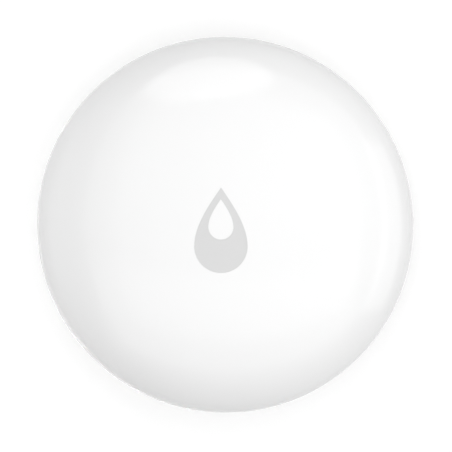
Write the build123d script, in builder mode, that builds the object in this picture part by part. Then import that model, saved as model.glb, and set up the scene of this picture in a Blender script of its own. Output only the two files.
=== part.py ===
from build123d import *

import os
from math import acos, asin, degrees, sqrt

# Water leak sensor, lying on the floor: a round sealed puck with a domed cover that is itself the push button,
# two metal probes under the base, and a coin cell behind a twist-off lid.
# Millimetres. +Z is up, and the origin is on the floor under the middle of the puck.
# The mark on the cover has its tip towards +Y, and the probes lie along X.

# Clearances that several fits share
running_gap = 0.15  # beside pieces that slide or turn past each other
seat_gap = 0.05  # above or below pieces that move against each other
seal_gap = 0.08  # between the cover's seal and the skirt that slides over it
fixed_gap = 0.02  # round pieces fastened in a hole, and contacts on the cell
overrun = 1.0  # how far a cut starts or ends outside the piece

# Coin cell
cell_diameter = 20.0
cell_height = 3.2
cell_sheet = 0.25
cell_rim_height = 0.25  # by which the cap stands above the crimped rim
cell_rim_width = 0.8
cell_edge_radius = 0.2
cell_gasket_wall = 0.2
cell_cathode_height = 1.6
cell_separator_height = 0.15
cell_side_space = 0.3

# Battery cover and its seal
lid_recess = 0.1
lid_flange_height = 1.0
lid_floor_height = 1.7
lid_cell_gap = 0.4
lid_ring_wall = 1.5
lid_ring_top_land = 0.1
lid_flange_land = 1.1
lid_edge_radius = 0.25
lid_seal_section = 0.9
lug_depth = 1.0
lug_height = 0.6
lug_root = 0.4
lug_ledge = 0.65
lug_play = 0.1
lug_count = 3
lug_angle = 10.0
lug_lead = 18.0  # drop of the lid in one whole turn
lug_release_angle = 40.0  # turn over which the ramps hold the lugs
coin_slot_length = 15.0
coin_slot_width = 1.9
coin_slot_depth = 1.0
lid_arrow_radius = 0.8
lid_arrow_inset = 1.4
engraving_depth = 0.2

# Base housing
foot_height = 0.8
foot_radius = 1.3
foot_edge_radius = 0.3
foot_count = 4
base_floor_height = 1.5
base_rim_height = 2.2
collar_wall = 1.2
collar_top_land = 0.4
probe_land = 1.0
underside_margin = 0.45
spigot_space = 1.07
spigot_wall = 1.2
spigot_top_land = 0.45
spigot_chamfer = 0.4
groove_side_play = 0.05
dot_radius = 0.55
dot_hole_radius = 0.3
dot_inset = 1.2

# Joint between the cover and the base
press_travel = 0.3
seam_gap = 0.5
skirt_lead = 0.35
cover_seal_section = 1.0
seal_land = 0.4
snap_height = 0.7
snap_depth = 0.45
snap_lead_in = 0.35
snap_angle = 16.0
snap_side_play_angle = 0.8
snap_count = 4

# Top cover
cover_wall = 1.6
cover_pole_radius = 0.5  # of the flat at the very top, too slight to see
skirt_wall = 2.0
equator_height = 6.0
skirt_edge_radius = 0.25
post_radius = 2.0
post_height = 0.75
rib_wall = 1.0
rib_depth = 0.6
rib_reach = 9.0
rib_root = 0.3
window_radius = 1.6
window_wall = 0.7

# Drop mark, a printed film in a shallow recess
mark_height = 11.15
mark_width = 6.95
mark_film = 0.12
eye_top_inset = 1.53
eye_size_share = 0.47  # the clear drop inside the mark, against the mark
tip_side_share = 0.31
tip_fall_share = 0.21
flank_rise_share = 0.38

# Water probes
probe_head_radius = 2.0
probe_head_height = 1.0
probe_edge_radius = 0.35
probe_floor_gap = 0.3
probe_shank_radius = 1.0
probe_tip_gap = 0.2
probe_seal_section = 0.6
probe_boss_wall = 0.66
probe_web = 1.2
probe_cross_length = 2.2
probe_cross_width = 0.5
probe_cross_depth = 0.55
insert_wall = 0.65
insert_height = 2.0
insert_groove_height = 0.5
insert_groove_depth = 0.2
spring_wire = 0.3
spring_turns = 2.5

# Circuit board and its screws
board_height = 1.0
board_edge_gap = 0.4
board_hole_play = 0.15
contact_space = 1.5
board_screw_pitch_radius = 16.9
board_screw_count = 3
board_screw_radius = 0.85
board_screw_length = 4.2
board_screw_head_radius = 1.5
board_screw_head_height = 0.9
board_screw_edge_radius = 0.3
board_screw_cross_length = 1.7
board_screw_cross_width = 0.4
board_screw_cross_depth = 0.45
board_boss_radius = 2.1
pilot_spare_depth = 0.5
copper_height = 0.05
pad_radius = 1.7

# Battery contacts
contact_sheet = 0.2
contact_width = 3.6
contact_pad_length = 2.0
contact_bend_radius = 0.3
negative_root_x = 7.0
negative_tip_x = 1.5
negative_tip_length = 1.0
negative_tip_rise = 0.45
positive_bow_depth = 0.8
positive_bow_height = 0.45

# Push switch
switch_width = 6.0
switch_body_height = 3.3
switch_frame_sheet = 0.25
switch_floor = 1.1
switch_bore_radius = 2.5
switch_edge_radius = 0.2
plunger_rise = 1.0
plunger_radius = 1.7
plunger_flange_radius = 2.25
plunger_flange_height = 0.5
plunger_nub_radius = 0.8
post_gap = 0.05
snap_disc_radius = 2.2
snap_disc_sheet = 0.1
snap_disc_rise = 0.5
frame_leg_height = 2.0
frame_leg_width = 3.0
lead_width = 0.7
lead_sheet = 0.2
lead_reach = 1.3
lead_exit_height = 0.8
lead_spacing = 4.5
lead_bend_radius = 0.15

# Parts on the board: size along X, along Y and upwards, and the place of the middle
chip_width = 6.6
chip_height = 0.85
chip_edge_radius = 0.1
chip_x = -9.6
chip_y = 2.6
chip_dot_radius = 0.35
chip_dot_inset = 0.9
chip_dot_depth = 0.08
crystal_width = 3.2
crystal_depth = 2.5
crystal_base_height = 0.3
crystal_can_height = 0.5
crystal_can_inset = 0.15
crystal_edge_radius = 0.1
crystal_x = -9.0
crystal_y = -6.4
led_width = 2.0
led_depth = 1.25
led_base_height = 0.4
led_lens_width = 1.2
led_lens_height = 0.35
led_lens_edge_radius = 0.15
led_y = 7.6
small_part_width = 1.6
small_part_depth = 0.8
capacitor_height = 0.75
resistor_height = 0.45
small_part_pitch_x = 2.6
small_part_pitch_y = 1.8
capacitor_columns = 2
capacitor_rows = 3
capacitor_x = 9.0
capacitor_y = 4.2
resistor_columns = 3
resistor_rows = 2
resistor_x = 10.2
resistor_y = -5.4
antenna_width = 14.0
antenna_rise = 3.0
antenna_line = 0.6
antenna_y = 12.2
antenna_legs = 6

# Angles round the Z axis
first_board_screw_angle = 30.0
first_foot_angle = 45.0
first_snap_angle = 45.0
first_lug_angle = 90.0
lid_arrow_angle = -70.0
coin_slot_angle = -70.0
positive_contact_angle = -90.0
rib_angles = (45.0, 135.0)

# Heights, from the floor up
underside_z = foot_height
base_floor_z = underside_z + base_floor_height
lid_bottom_z = underside_z + lid_recess
lid_flange_top_z = lid_bottom_z + lid_flange_height
lid_seat_z = lid_flange_top_z + seat_gap
lid_seal_top_z = lid_seat_z + lid_seal_section
lug_bottom_z = lid_seal_top_z + lug_ledge + lug_play
lug_climb = lug_lead * lug_angle / 360
lug_drop = lug_lead * lug_release_angle / 360
lid_ring_top_z = lug_bottom_z + lug_height + lug_climb + lid_ring_top_land
collar_top_z = lid_ring_top_z + collar_top_land
cell_bottom_z = lid_bottom_z + lid_floor_height
cell_top_z = cell_bottom_z + cell_height
board_bottom_z = cell_top_z + contact_space
board_top_z = board_bottom_z + board_height
frame_top_z = board_top_z + switch_body_height
plunger_top_z = frame_top_z + plunger_rise
post_bottom_z = plunger_top_z + post_gap
cover_inner_z = post_bottom_z + post_height
cover_top_z = cover_inner_z + cover_wall
rim_z = underside_z + base_rim_height
skirt_bottom_z = rim_z + seam_gap
groove_bottom_z = skirt_bottom_z + skirt_lead
groove_top_z = groove_bottom_z + cover_seal_section + 2 * groove_side_play
pocket_bottom_z = groove_top_z + seal_land
snap_bottom_z = pocket_bottom_z + press_travel + running_gap
snap_top_z = snap_bottom_z + snap_height
pocket_top_z = snap_top_z + seat_gap
spigot_top_z = pocket_top_z + spigot_top_land
skirt_bore_top_z = spigot_top_z + press_travel + running_gap
probe_head_top_z = probe_floor_gap + probe_head_height
probe_seal_top_z = probe_head_top_z + probe_seal_section + seat_gap
insert_bottom_z = probe_seal_top_z + probe_web
insert_top_z = insert_bottom_z + insert_height

# Radii, from the cell outwards
cell_radius = cell_diameter / 2
lid_ring_inner_radius = cell_radius + lid_cell_gap
lid_ring_radius = lid_ring_inner_radius + lid_ring_wall
lid_bore_radius = lid_ring_radius + running_gap
lug_radius = lid_ring_radius + lug_depth
lug_groove_radius = lug_radius + running_gap
lid_recess_radius = max(lid_ring_radius + lid_seal_section, lug_radius) + running_gap
lid_flange_radius = lid_recess_radius + lid_flange_land
lid_seat_radius = lid_flange_radius + running_gap
collar_radius = lid_seat_radius + collar_wall
probe_bore_radius = probe_shank_radius + fixed_gap
insert_radius = probe_bore_radius + insert_wall
insert_bore_radius = insert_radius + fixed_gap
probe_boss_radius = insert_bore_radius + probe_boss_wall
probe_pitch_radius = lid_seat_radius + probe_land + probe_head_radius
flat_radius = probe_pitch_radius + probe_head_radius + underside_margin
spigot_inner_radius = probe_pitch_radius + probe_boss_radius + spigot_space
groove_radius = spigot_inner_radius + spigot_wall
skirt_inner_radius = groove_radius + cover_seal_section + seal_gap
spigot_radius = skirt_inner_radius - running_gap
body_radius = skirt_inner_radius + skirt_wall
board_radius = spigot_inner_radius - board_edge_gap
probe_places = {"right": probe_pitch_radius, "left": -probe_pitch_radius}


def upright_plane(angle):
    """The upright plane through the Z axis at this angle, with x outwards and y up."""
    return Plane.XZ.rotated((0, 0, angle))


def belly_angle(height):
    """Where the lower side of the puck passes this height, as an angle of its elliptical section."""
    return -degrees(asin((equator_height - height) / (equator_height - underside_z)))


def dome_height(radius):
    """Height of the outside of the dome at this distance from the middle."""
    return equator_height + (cover_top_z - equator_height) * sqrt(1 - (radius / body_radius) ** 2)


def crown_arc(inset):
    """The dome's section from the flat at its top out to its widest, set in by so much."""
    radius = body_radius - inset
    pole_angle = degrees(acos(cover_pole_radius / radius))
    return EllipticalCenterArc(
        (0, equator_height), radius, cover_top_z - equator_height - inset, pole_angle, arc_size=-pole_angle
    )


def dome_block(inset):
    """All that lies under the dome's outside, set in by so much, and above its widest."""
    with BuildPart(mode=Mode.PRIVATE) as block:
        with BuildSketch(Plane.XZ):
            with BuildLine():
                crown = crown_arc(inset)
                Polyline(crown @ 0, (0, (crown @ 0).Y), (0, equator_height), crown @ 1)
            make_face()
        revolve(axis=Axis.Z)
    return block.part


def drop_face(height, width, tip_y):
    """A drop in the XY plane: a pointed tip, two flanks that swell, and a round bottom."""
    half_width = width / 2
    flank = height - half_width
    shoulder_y = tip_y - flank
    with BuildSketch(mode=Mode.PRIVATE) as drop:
        with BuildLine():
            Bezier(
                (0, tip_y),
                (half_width * tip_side_share, tip_y - flank * tip_fall_share),
                (half_width, shoulder_y + flank * flank_rise_share),
                (half_width, shoulder_y),
            )
            mirror(about=Plane.YZ)
            ThreePointArc((half_width, shoulder_y), (0, tip_y - height), (-half_width, shoulder_y))
        make_face()
    return drop.sketch


def ramp_block(inner_radius, outer_radius, bottom, height, start_angle, sweep_angle):
    """A block that climbs along the lid's ramps, from start_angle on through sweep_angle."""
    middle_radius = (inner_radius + outer_radius) / 2
    with BuildLine(mode=Mode.PRIVATE) as path:
        Helix(pitch=lug_lead, height=lug_lead * sweep_angle / 360, radius=middle_radius)
    with BuildPart(mode=Mode.PRIVATE) as block:
        with BuildSketch(Plane.XZ):
            with Locations((middle_radius, 0)):
                Rectangle(outer_radius - inner_radius, height)
        sweep(path=path.line, is_frenet=True)
    return block.part.locate(Location((0, 0, bottom + height / 2), (0, 0, start_angle)))


def ring_seal(x, inner_radius, section, bottom):
    """A rubber ring of round section, lying flat around an upright axis at x."""
    with BuildPart(mode=Mode.PRIVATE) as seal:
        with BuildSketch(Plane.XZ):
            with Locations((x + inner_radius + section / 2, bottom + section / 2)):
                Circle(section / 2)
        revolve(axis=Axis((x, 0, 0), (0, 0, 1)))
    return seal.part


def cross_face(length, width):
    """The cross of a screwdriver recess."""
    with BuildSketch(mode=Mode.PRIVATE) as cross:
        Rectangle(length, width)
        Rectangle(width, length)
    return cross.sketch


os.makedirs("parts", exist_ok=True)

# Drop mark: the printed film follows the dome, and its clear eye is the cover showing through
with BuildPart() as mark_column:
    with BuildSketch(Plane.XY.offset(equator_height)):
        add(drop_face(mark_height, mark_width, mark_height / 2))
        add(
            drop_face(
                mark_height * eye_size_share,
                mark_width * eye_size_share,
                mark_height / 2 - eye_top_inset,
            ),
            mode=Mode.SUBTRACT,
        )
    extrude(amount=cover_top_z + overrun - equator_height)
    add(dome_block(mark_film), mode=Mode.SUBTRACT)
with BuildPart() as drop_mark:
    add(mark_column.part)
    add(dome_block(0), mode=Mode.INTERSECT)
drop_mark.part.label = "drop_mark"
export_step(drop_mark.part, "parts/drop_mark.step")

# Top cover: a dome with a skirt over the base, and the whole of it moves down when pressed
with BuildPart() as top_cover:
    with BuildSketch(Plane.XZ):
        with BuildLine():
            crown = crown_arc(0)
            side = EllipticalCenterArc(
                (flat_radius, equator_height),
                body_radius - flat_radius,
                equator_height - underside_z,
                belly_angle(skirt_bottom_z),
                arc_size=-belly_angle(skirt_bottom_z),
            )
            Polyline(side @ 0, (0, skirt_bottom_z), (0, (crown @ 0).Y), crown @ 0)
        make_face()
    revolve(axis=Axis.Z)
    fillet(top_cover.edges().filter_by(GeomType.CIRCLE).sort_by(Axis.Z)[0], skirt_edge_radius)
    # Hollow inside, with a straight bore where the skirt slides over the base
    ceiling_radius = body_radius - cover_wall
    ceiling_angle = degrees(acos(skirt_inner_radius / ceiling_radius))
    with BuildSketch(Plane.XZ):
        with BuildLine():
            ceiling = EllipticalCenterArc(
                (0, equator_height),
                ceiling_radius,
                cover_inner_z - equator_height,
                90,
                arc_size=ceiling_angle - 90,
            )
            Polyline(
                ceiling @ 1,
                (skirt_inner_radius, skirt_bottom_z - overrun),
                (0, skirt_bottom_z - overrun),
                ceiling @ 0,
            )
        make_face()
    revolve(axis=Axis.Z, mode=Mode.SUBTRACT)
    with BuildSketch(Plane.XY.offset(skirt_bottom_z)):
        Circle(skirt_inner_radius)
    extrude(amount=skirt_bore_top_z - skirt_bottom_z, mode=Mode.SUBTRACT)
    # Post that meets the switch, and stiffening ribs across the ceiling
    with BuildSketch(Plane.XY.offset(post_bottom_z)):
        Circle(post_radius)
    extrude(amount=post_height + rib_root)
    with BuildSketch(Plane.XY.offset(cover_inner_z - rib_depth)):
        for angle in rib_angles:
            SlotCenterToCenter(2 * rib_reach, rib_wall, rotation=angle)
    extrude(amount=rib_depth + rib_root)
    # Snap lugs that hold the cover on the base
    for index in range(snap_count):
        angle = first_snap_angle + index * 360 / snap_count - snap_angle / 2
        with BuildSketch(upright_plane(angle)):
            with BuildLine():
                Polyline(
                    (skirt_inner_radius + running_gap, snap_top_z),
                    (skirt_inner_radius - snap_depth, snap_top_z),
                    (skirt_inner_radius - snap_depth, snap_bottom_z + snap_lead_in),
                    (skirt_inner_radius, snap_bottom_z),
                    (skirt_inner_radius + running_gap, snap_bottom_z),
                    close=True,
                )
            make_face()
        revolve(axis=Axis.Z, revolution_arc=snap_angle)
    # Thin window over the light, cut from inside
    with BuildSketch(Plane.XY.offset(dome_height(led_y + window_radius) - window_wall)):
        with Locations((0, led_y)):
            Circle(window_radius)
    extrude(amount=-(cover_wall + overrun), mode=Mode.SUBTRACT)
    add(mark_column.part, mode=Mode.SUBTRACT)
top_cover.part.label = "top_cover"
export_step(top_cover.part, "parts/top_cover.step")

# Base housing: floor, spigot for the cover, collar for the lid, bosses and feet in one moulding
lug_paths = [
    ramp_block(
        lid_ring_radius,
        lug_groove_radius,
        lug_bottom_z - lug_play - lug_drop,
        lug_height + 2 * lug_play,
        first_lug_angle + index * 360 / lug_count - lug_release_angle,
        lug_release_angle + lug_angle + degrees(lug_play / lug_radius),
    )
    for index in range(lug_count)
]
with BuildPart() as base_housing:
    with BuildSketch(Plane.XZ):
        with BuildLine():
            side = EllipticalCenterArc(
                (flat_radius, equator_height),
                body_radius - flat_radius,
                equator_height - underside_z,
                -90,
                arc_size=90 + belly_angle(rim_z),
            )
            Polyline(
                side @ 1,
                (spigot_radius, rim_z),
                (spigot_radius, spigot_top_z - spigot_chamfer),
                (spigot_radius - spigot_chamfer, spigot_top_z),
                (spigot_inner_radius, spigot_top_z),
                (spigot_inner_radius, base_floor_z),
                (collar_radius, base_floor_z),
                (collar_radius, collar_top_z),
                (lid_bore_radius, collar_top_z),
                (lid_bore_radius, lid_seal_top_z),
                (lid_recess_radius, lid_seal_top_z),
                (lid_recess_radius, lid_seat_z),
                (lid_seat_radius, lid_seat_z),
                (lid_seat_radius, underside_z),
                side @ 0,
            )
        make_face()
    revolve(axis=Axis.Z)
    # Groove for the cover's seal
    with BuildSketch(Plane.XY.offset(groove_bottom_z)):
        Circle(spigot_radius + overrun)
        Circle(groove_radius, mode=Mode.SUBTRACT)
    extrude(amount=groove_top_z - groove_bottom_z, mode=Mode.SUBTRACT)
    # Pockets for the cover's snap lugs
    pocket_angle = snap_angle + 2 * snap_side_play_angle
    pocket_floor_radius = skirt_inner_radius - snap_depth - running_gap
    for index in range(snap_count):
        angle = first_snap_angle + index * 360 / snap_count - pocket_angle / 2
        with BuildSketch(upright_plane(angle)):
            with BuildLine():
                Polyline(
                    (pocket_floor_radius, pocket_bottom_z),
                    (spigot_radius + overrun, pocket_bottom_z),
                    (spigot_radius + overrun, pocket_top_z),
                    (pocket_floor_radius, pocket_top_z),
                    close=True,
                )
            make_face()
        revolve(axis=Axis.Z, revolution_arc=pocket_angle, mode=Mode.SUBTRACT)
    # Bosses for the board's screws
    with BuildSketch(Plane.XY.offset(base_floor_z)):
        with PolarLocations(board_screw_pitch_radius, board_screw_count, first_board_screw_angle):
            Circle(board_boss_radius)
    extrude(amount=board_bottom_z - base_floor_z)
    with BuildSketch(Plane.XY.offset(board_bottom_z)):
        with PolarLocations(board_screw_pitch_radius, board_screw_count, first_board_screw_angle):
            Circle(board_screw_radius + fixed_gap)
    extrude(amount=-(board_screw_length - board_height + pilot_spare_depth), mode=Mode.SUBTRACT)
    # Bosses for the probes, bored in steps for the head, the seal, the shank and the insert
    with BuildSketch(Plane.XY.offset(underside_z)):
        with PolarLocations(probe_pitch_radius, len(probe_places)):
            Circle(probe_boss_radius)
    extrude(amount=insert_top_z - underside_z)
    for radius, bottom, top in (
        (probe_head_radius + running_gap, underside_z - overrun, probe_head_top_z + seat_gap),
        (probe_shank_radius + probe_seal_section + fixed_gap, underside_z, probe_seal_top_z),
        (probe_bore_radius, underside_z, insert_top_z),
        (insert_bore_radius, insert_bottom_z, insert_top_z + overrun),
    ):
        with BuildSketch(Plane.XY.offset(bottom)):
            with PolarLocations(probe_pitch_radius, len(probe_places)):
                Circle(radius)
        extrude(amount=top - bottom, mode=Mode.SUBTRACT)
    # Feet
    with BuildSketch():
        with PolarLocations(probe_pitch_radius, foot_count, first_foot_angle):
            Circle(foot_radius)
    extrude(amount=foot_height)
    fillet(base_housing.edges().group_by(Axis.Z)[0], foot_edge_radius)
    # Ramps for the lid's lugs, which run out into the seal's recess below
    add(lug_paths, mode=Mode.SUBTRACT)
    # Marks beside the lid: a dot where its arrow points when it is shut, and a ring where it is free
    with BuildSketch(Plane.XY.offset(underside_z)):
        with PolarLocations(lid_seat_radius + dot_inset, 1, lid_arrow_angle):
            Circle(dot_radius)
        with PolarLocations(lid_seat_radius + dot_inset, 1, lid_arrow_angle - lug_release_angle):
            Circle(dot_radius)
            Circle(dot_hole_radius, mode=Mode.SUBTRACT)
    extrude(amount=engraving_depth, mode=Mode.SUBTRACT)
base_housing.part.label = "base_housing"
export_step(base_housing.part, "parts/base_housing.step")

# Rubber ring that seals the cover to the base
with BuildPart() as cover_seal:
    add(ring_seal(0, groove_radius, cover_seal_section, groove_bottom_z + groove_side_play))
cover_seal.part.label = "cover_seal"
export_step(cover_seal.part, "parts/cover_seal.step")

# Battery cover: a disc with a coin slot, and a ring with three ramped lugs
lugs = [
    ramp_block(
        lid_ring_radius - lug_root,
        lug_radius,
        lug_bottom_z,
        lug_height,
        first_lug_angle + index * 360 / lug_count,
        lug_angle,
    )
    for index in range(lug_count)
]
with BuildPart() as battery_cover:
    with BuildSketch(Plane.XY.offset(lid_bottom_z)):
        Circle(lid_flange_radius)
    extrude(amount=lid_flange_height)
    fillet(battery_cover.edges().group_by(Axis.Z)[0], lid_edge_radius)
    with BuildSketch(Plane.XY.offset(lid_flange_top_z)):
        Circle(lid_ring_radius)
    extrude(amount=lid_ring_top_z - lid_flange_top_z)
    with BuildSketch(Plane.XY.offset(cell_bottom_z)):
        Circle(lid_ring_inner_radius)
    extrude(amount=lid_ring_top_z - cell_bottom_z, mode=Mode.SUBTRACT)
    add(lugs)
    with BuildSketch(Plane.XY.offset(lid_bottom_z)):
        SlotOverall(coin_slot_length, coin_slot_width, rotation=coin_slot_angle)
    extrude(amount=coin_slot_depth, mode=Mode.SUBTRACT)
    with BuildSketch(Plane.XY.offset(lid_bottom_z)):
        with PolarLocations(lid_flange_radius - lid_arrow_inset, 1, lid_arrow_angle):
            RegularPolygon(lid_arrow_radius, 3)
    extrude(amount=engraving_depth, mode=Mode.SUBTRACT)
battery_cover.part.label = "battery_cover"
export_step(battery_cover.part, "parts/battery_cover.step")

with BuildPart() as battery_cover_seal:
    add(ring_seal(0, lid_ring_radius, lid_seal_section, lid_flange_top_z))
battery_cover_seal.part.label = "battery_cover_seal"
export_step(battery_cover_seal.part, "parts/battery_cover_seal.step")

# Water probes, each with its seal, its brass insert in the base, and a spring up to the board
spring_bottom_z = insert_top_z + spring_wire / 2
spring_top_z = board_bottom_z - copper_height - spring_wire / 2
spring_radius = (probe_bore_radius + insert_radius) / 2
for side_name, probe_x in probe_places.items():
    with BuildPart() as probe:
        with BuildSketch(Plane((probe_x, 0, probe_floor_gap))):
            Circle(probe_head_radius)
        extrude(amount=probe_head_height)
        fillet(probe.edges().group_by(Axis.Z)[0], probe_edge_radius)
        with BuildSketch(Plane((probe_x, 0, probe_head_top_z))):
            Circle(probe_shank_radius)
        extrude(amount=insert_top_z - probe_tip_gap - probe_head_top_z)
        chamfer(probe.edges().group_by(Axis.Z)[-1], probe_tip_gap)
        with BuildSketch(Plane((probe_x, 0, probe_floor_gap))):
            add(cross_face(probe_cross_length, probe_cross_width))
        extrude(amount=probe_cross_depth, mode=Mode.SUBTRACT)
    probe.part.label = f"probe_{side_name}"
    export_step(probe.part, f"parts/probe_{side_name}.step")

    with BuildPart() as probe_seal:
        add(ring_seal(probe_x, probe_shank_radius, probe_seal_section, probe_head_top_z))
    probe_seal.part.label = f"probe_seal_{side_name}"
    export_step(probe_seal.part, f"parts/probe_seal_{side_name}.step")

    with BuildPart() as insert:
        with BuildSketch(Plane((probe_x, 0, insert_bottom_z))):
            Circle(insert_radius)
            Circle(probe_bore_radius, mode=Mode.SUBTRACT)
        extrude(amount=insert_height)
        with BuildSketch(Plane((probe_x, 0, insert_bottom_z + (insert_height - insert_groove_height) / 2))):
            Circle(insert_radius + overrun)
            Circle(insert_radius - insert_groove_depth, mode=Mode.SUBTRACT)
        extrude(amount=insert_groove_height, mode=Mode.SUBTRACT)
    insert.part.label = f"probe_insert_{side_name}"
    export_step(insert.part, f"parts/probe_insert_{side_name}.step")

    with BuildPart() as spring:
        with BuildLine(Plane((probe_x, 0, spring_bottom_z))) as coil:
            Helix(
                pitch=(spring_top_z - spring_bottom_z) / spring_turns,
                height=spring_top_z - spring_bottom_z,
                radius=spring_radius,
            )
        with BuildSketch(Plane(coil.line @ 0, z_dir=coil.line % 0)):
            Circle(spring_wire / 2)
        sweep(path=coil.line, is_frenet=True)
    spring.part.label = f"probe_spring_{side_name}"
    export_step(spring.part, f"parts/probe_spring_{side_name}.step")

# Circuit board
with BuildPart() as circuit_board:
    with BuildSketch(Plane.XY.offset(board_bottom_z)):
        Circle(board_radius)
        with PolarLocations(board_screw_pitch_radius, board_screw_count, first_board_screw_angle):
            Circle(board_screw_radius + board_hole_play, mode=Mode.SUBTRACT)
    extrude(amount=board_height)
circuit_board.part.label = "circuit_board"
export_step(circuit_board.part, "parts/circuit_board.step")

# Copper under the board where the springs press
with BuildPart() as board_pads:
    with BuildSketch(Plane.XY.offset(board_bottom_z)):
        with PolarLocations(probe_pitch_radius, len(probe_places)):
            Circle(pad_radius)
    extrude(amount=-copper_height)
board_pads.part.label = "board_pads"
export_step(board_pads.part, "parts/board_pads.step")

# Antenna: a line of copper that runs up and down across the front of the board
antenna_points = []
for leg in range(antenna_legs + 1):
    leg_x = antenna_width * leg / antenna_legs - antenna_width / 2
    ends = [(leg_x, antenna_y), (leg_x, antenna_y + antenna_rise)]
    antenna_points += ends if leg % 2 == 0 else reversed(ends)
with BuildPart() as antenna_trace:
    with BuildSketch(Plane.XY.offset(board_top_z)):
        with BuildLine():
            FilletPolyline(*antenna_points, radius=antenna_line)
        trace(line_width=antenna_line)
    extrude(amount=copper_height)
antenna_trace.part.label = "antenna_trace"
export_step(antenna_trace.part, "parts/antenna_trace.step")

# Screws that hold the board on its bosses
with BuildPart() as board_screws:
    with BuildSketch(Plane.XY.offset(board_top_z)):
        with PolarLocations(board_screw_pitch_radius, board_screw_count, first_board_screw_angle):
            Circle(board_screw_head_radius)
    extrude(amount=board_screw_head_height)
    fillet(board_screws.edges().group_by(Axis.Z)[-1], board_screw_edge_radius)
    with BuildSketch(Plane.XY.offset(board_top_z)):
        with PolarLocations(board_screw_pitch_radius, board_screw_count, first_board_screw_angle):
            Circle(board_screw_radius)
    extrude(amount=-board_screw_length)
    with BuildSketch(Plane.XY.offset(board_top_z + board_screw_head_height)):
        with PolarLocations(board_screw_pitch_radius, board_screw_count, first_board_screw_angle):
            add(cross_face(board_screw_cross_length, board_screw_cross_width))
    extrude(amount=-board_screw_cross_depth, mode=Mode.SUBTRACT)
board_screws.part.label = "board_screws"
export_step(board_screws.part, "parts/board_screws.step")

# Push switch: moulded base, snap disc, plunger, sheet frame and four leads
with BuildPart() as switch_base:
    with BuildSketch(Plane.XY.offset(board_top_z)):
        Rectangle(switch_width, switch_width)
    extrude(amount=switch_body_height - switch_frame_sheet)
    fillet(switch_base.edges().filter_by(Axis.Z), switch_edge_radius)
    with BuildSketch(Plane.XY.offset(board_top_z + switch_floor)):
        Circle(switch_bore_radius)
    extrude(amount=switch_body_height, mode=Mode.SUBTRACT)
switch_base.part.label = "switch_base"
export_step(switch_base.part, "parts/switch_base.step")

with BuildPart() as switch_dome:
    with BuildSketch(Plane.XZ):
        with BuildLine():
            disc_z = board_top_z + switch_floor
            bowl = EllipticalCenterArc((0, disc_z), snap_disc_radius, snap_disc_rise, 90, arc_size=-90)
            hollow = EllipticalCenterArc(
                (0, disc_z),
                snap_disc_radius - snap_disc_sheet,
                snap_disc_rise - snap_disc_sheet,
                90,
                arc_size=-90,
            )
            Line(bowl @ 0, hollow @ 0)
            Line(bowl @ 1, hollow @ 1)
        make_face()
    revolve(axis=Axis.Z)
switch_dome.part.label = "switch_dome"
export_step(switch_dome.part, "parts/switch_dome.step")

flange_top_z = frame_top_z - switch_frame_sheet - seat_gap
nub_bottom_z = disc_z + snap_disc_rise + seat_gap
with BuildPart() as switch_plunger:
    for radius, bottom, top in (
        (plunger_radius, flange_top_z - plunger_flange_height, plunger_top_z),
        (plunger_flange_radius, flange_top_z - plunger_flange_height, flange_top_z),
        (plunger_nub_radius, nub_bottom_z, flange_top_z),
    ):
        with BuildSketch(Plane.XY.offset(bottom)):
            Circle(radius)
        extrude(amount=top - bottom)
    fillet(switch_plunger.edges().group_by(Axis.Z)[-1], switch_edge_radius)
switch_plunger.part.label = "switch_plunger"
export_step(switch_plunger.part, "parts/switch_plunger.step")

with BuildPart() as switch_frame:
    with BuildSketch(Plane.XY.offset(frame_top_z)):
        Rectangle(switch_width + 2 * switch_frame_sheet, frame_leg_width)
        Rectangle(switch_width, switch_width)
        Circle(plunger_radius + running_gap, mode=Mode.SUBTRACT)
    extrude(amount=-switch_frame_sheet)
    with BuildSketch(Plane.XY.offset(frame_top_z)):
        with GridLocations(switch_width + switch_frame_sheet, 0, 2, 1):
            Rectangle(switch_frame_sheet, frame_leg_width)
    extrude(amount=-frame_leg_height)
switch_frame.part.label = "switch_frame"
export_step(switch_frame.part, "parts/switch_frame.step")

lead_end_y = switch_width / 2 + lead_reach
lead_knee_y = switch_width / 2 + lead_reach / 2
with BuildPart() as switch_leads:
    with BuildSketch(Plane.YZ.offset((lead_spacing - lead_width) / 2)):
        with BuildLine():
            FilletPolyline(
                (switch_width / 2, board_top_z + lead_exit_height),
                (lead_knee_y, board_top_z + lead_exit_height),
                (lead_knee_y, board_top_z + lead_sheet / 2),
                (lead_end_y, board_top_z + lead_sheet / 2),
                radius=lead_bend_radius,
            )
        trace(line_width=lead_sheet)
    extrude(amount=lead_width)
    mirror(about=Plane.YZ)
    mirror(about=Plane.XZ)
switch_leads.part.label = "switch_leads"
export_step(switch_leads.part, "parts/switch_leads.step")

# Radio chip, with a dimple at its first leg
with BuildPart() as radio_chip:
    with BuildSketch(Plane.XY.offset(board_top_z)):
        with Locations((chip_x, chip_y)):
            Rectangle(chip_width, chip_width)
    extrude(amount=chip_height)
    fillet(radio_chip.edges().group_by(Axis.Z)[-1], chip_edge_radius)
    with BuildSketch(Plane.XY.offset(board_top_z + chip_height)):
        dimple_offset = chip_width / 2 - chip_dot_inset
        with Locations((chip_x - dimple_offset, chip_y + dimple_offset)):
            Circle(chip_dot_radius)
    extrude(amount=-chip_dot_depth, mode=Mode.SUBTRACT)
radio_chip.part.label = "radio_chip"
export_step(radio_chip.part, "parts/radio_chip.step")

# Crystal: a ceramic base and a metal can
with BuildPart() as crystal_base:
    with BuildSketch(Plane.XY.offset(board_top_z)):
        with Locations((crystal_x, crystal_y)):
            Rectangle(crystal_width, crystal_depth)
    extrude(amount=crystal_base_height)
crystal_base.part.label = "crystal_base"
export_step(crystal_base.part, "parts/crystal_base.step")

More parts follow.
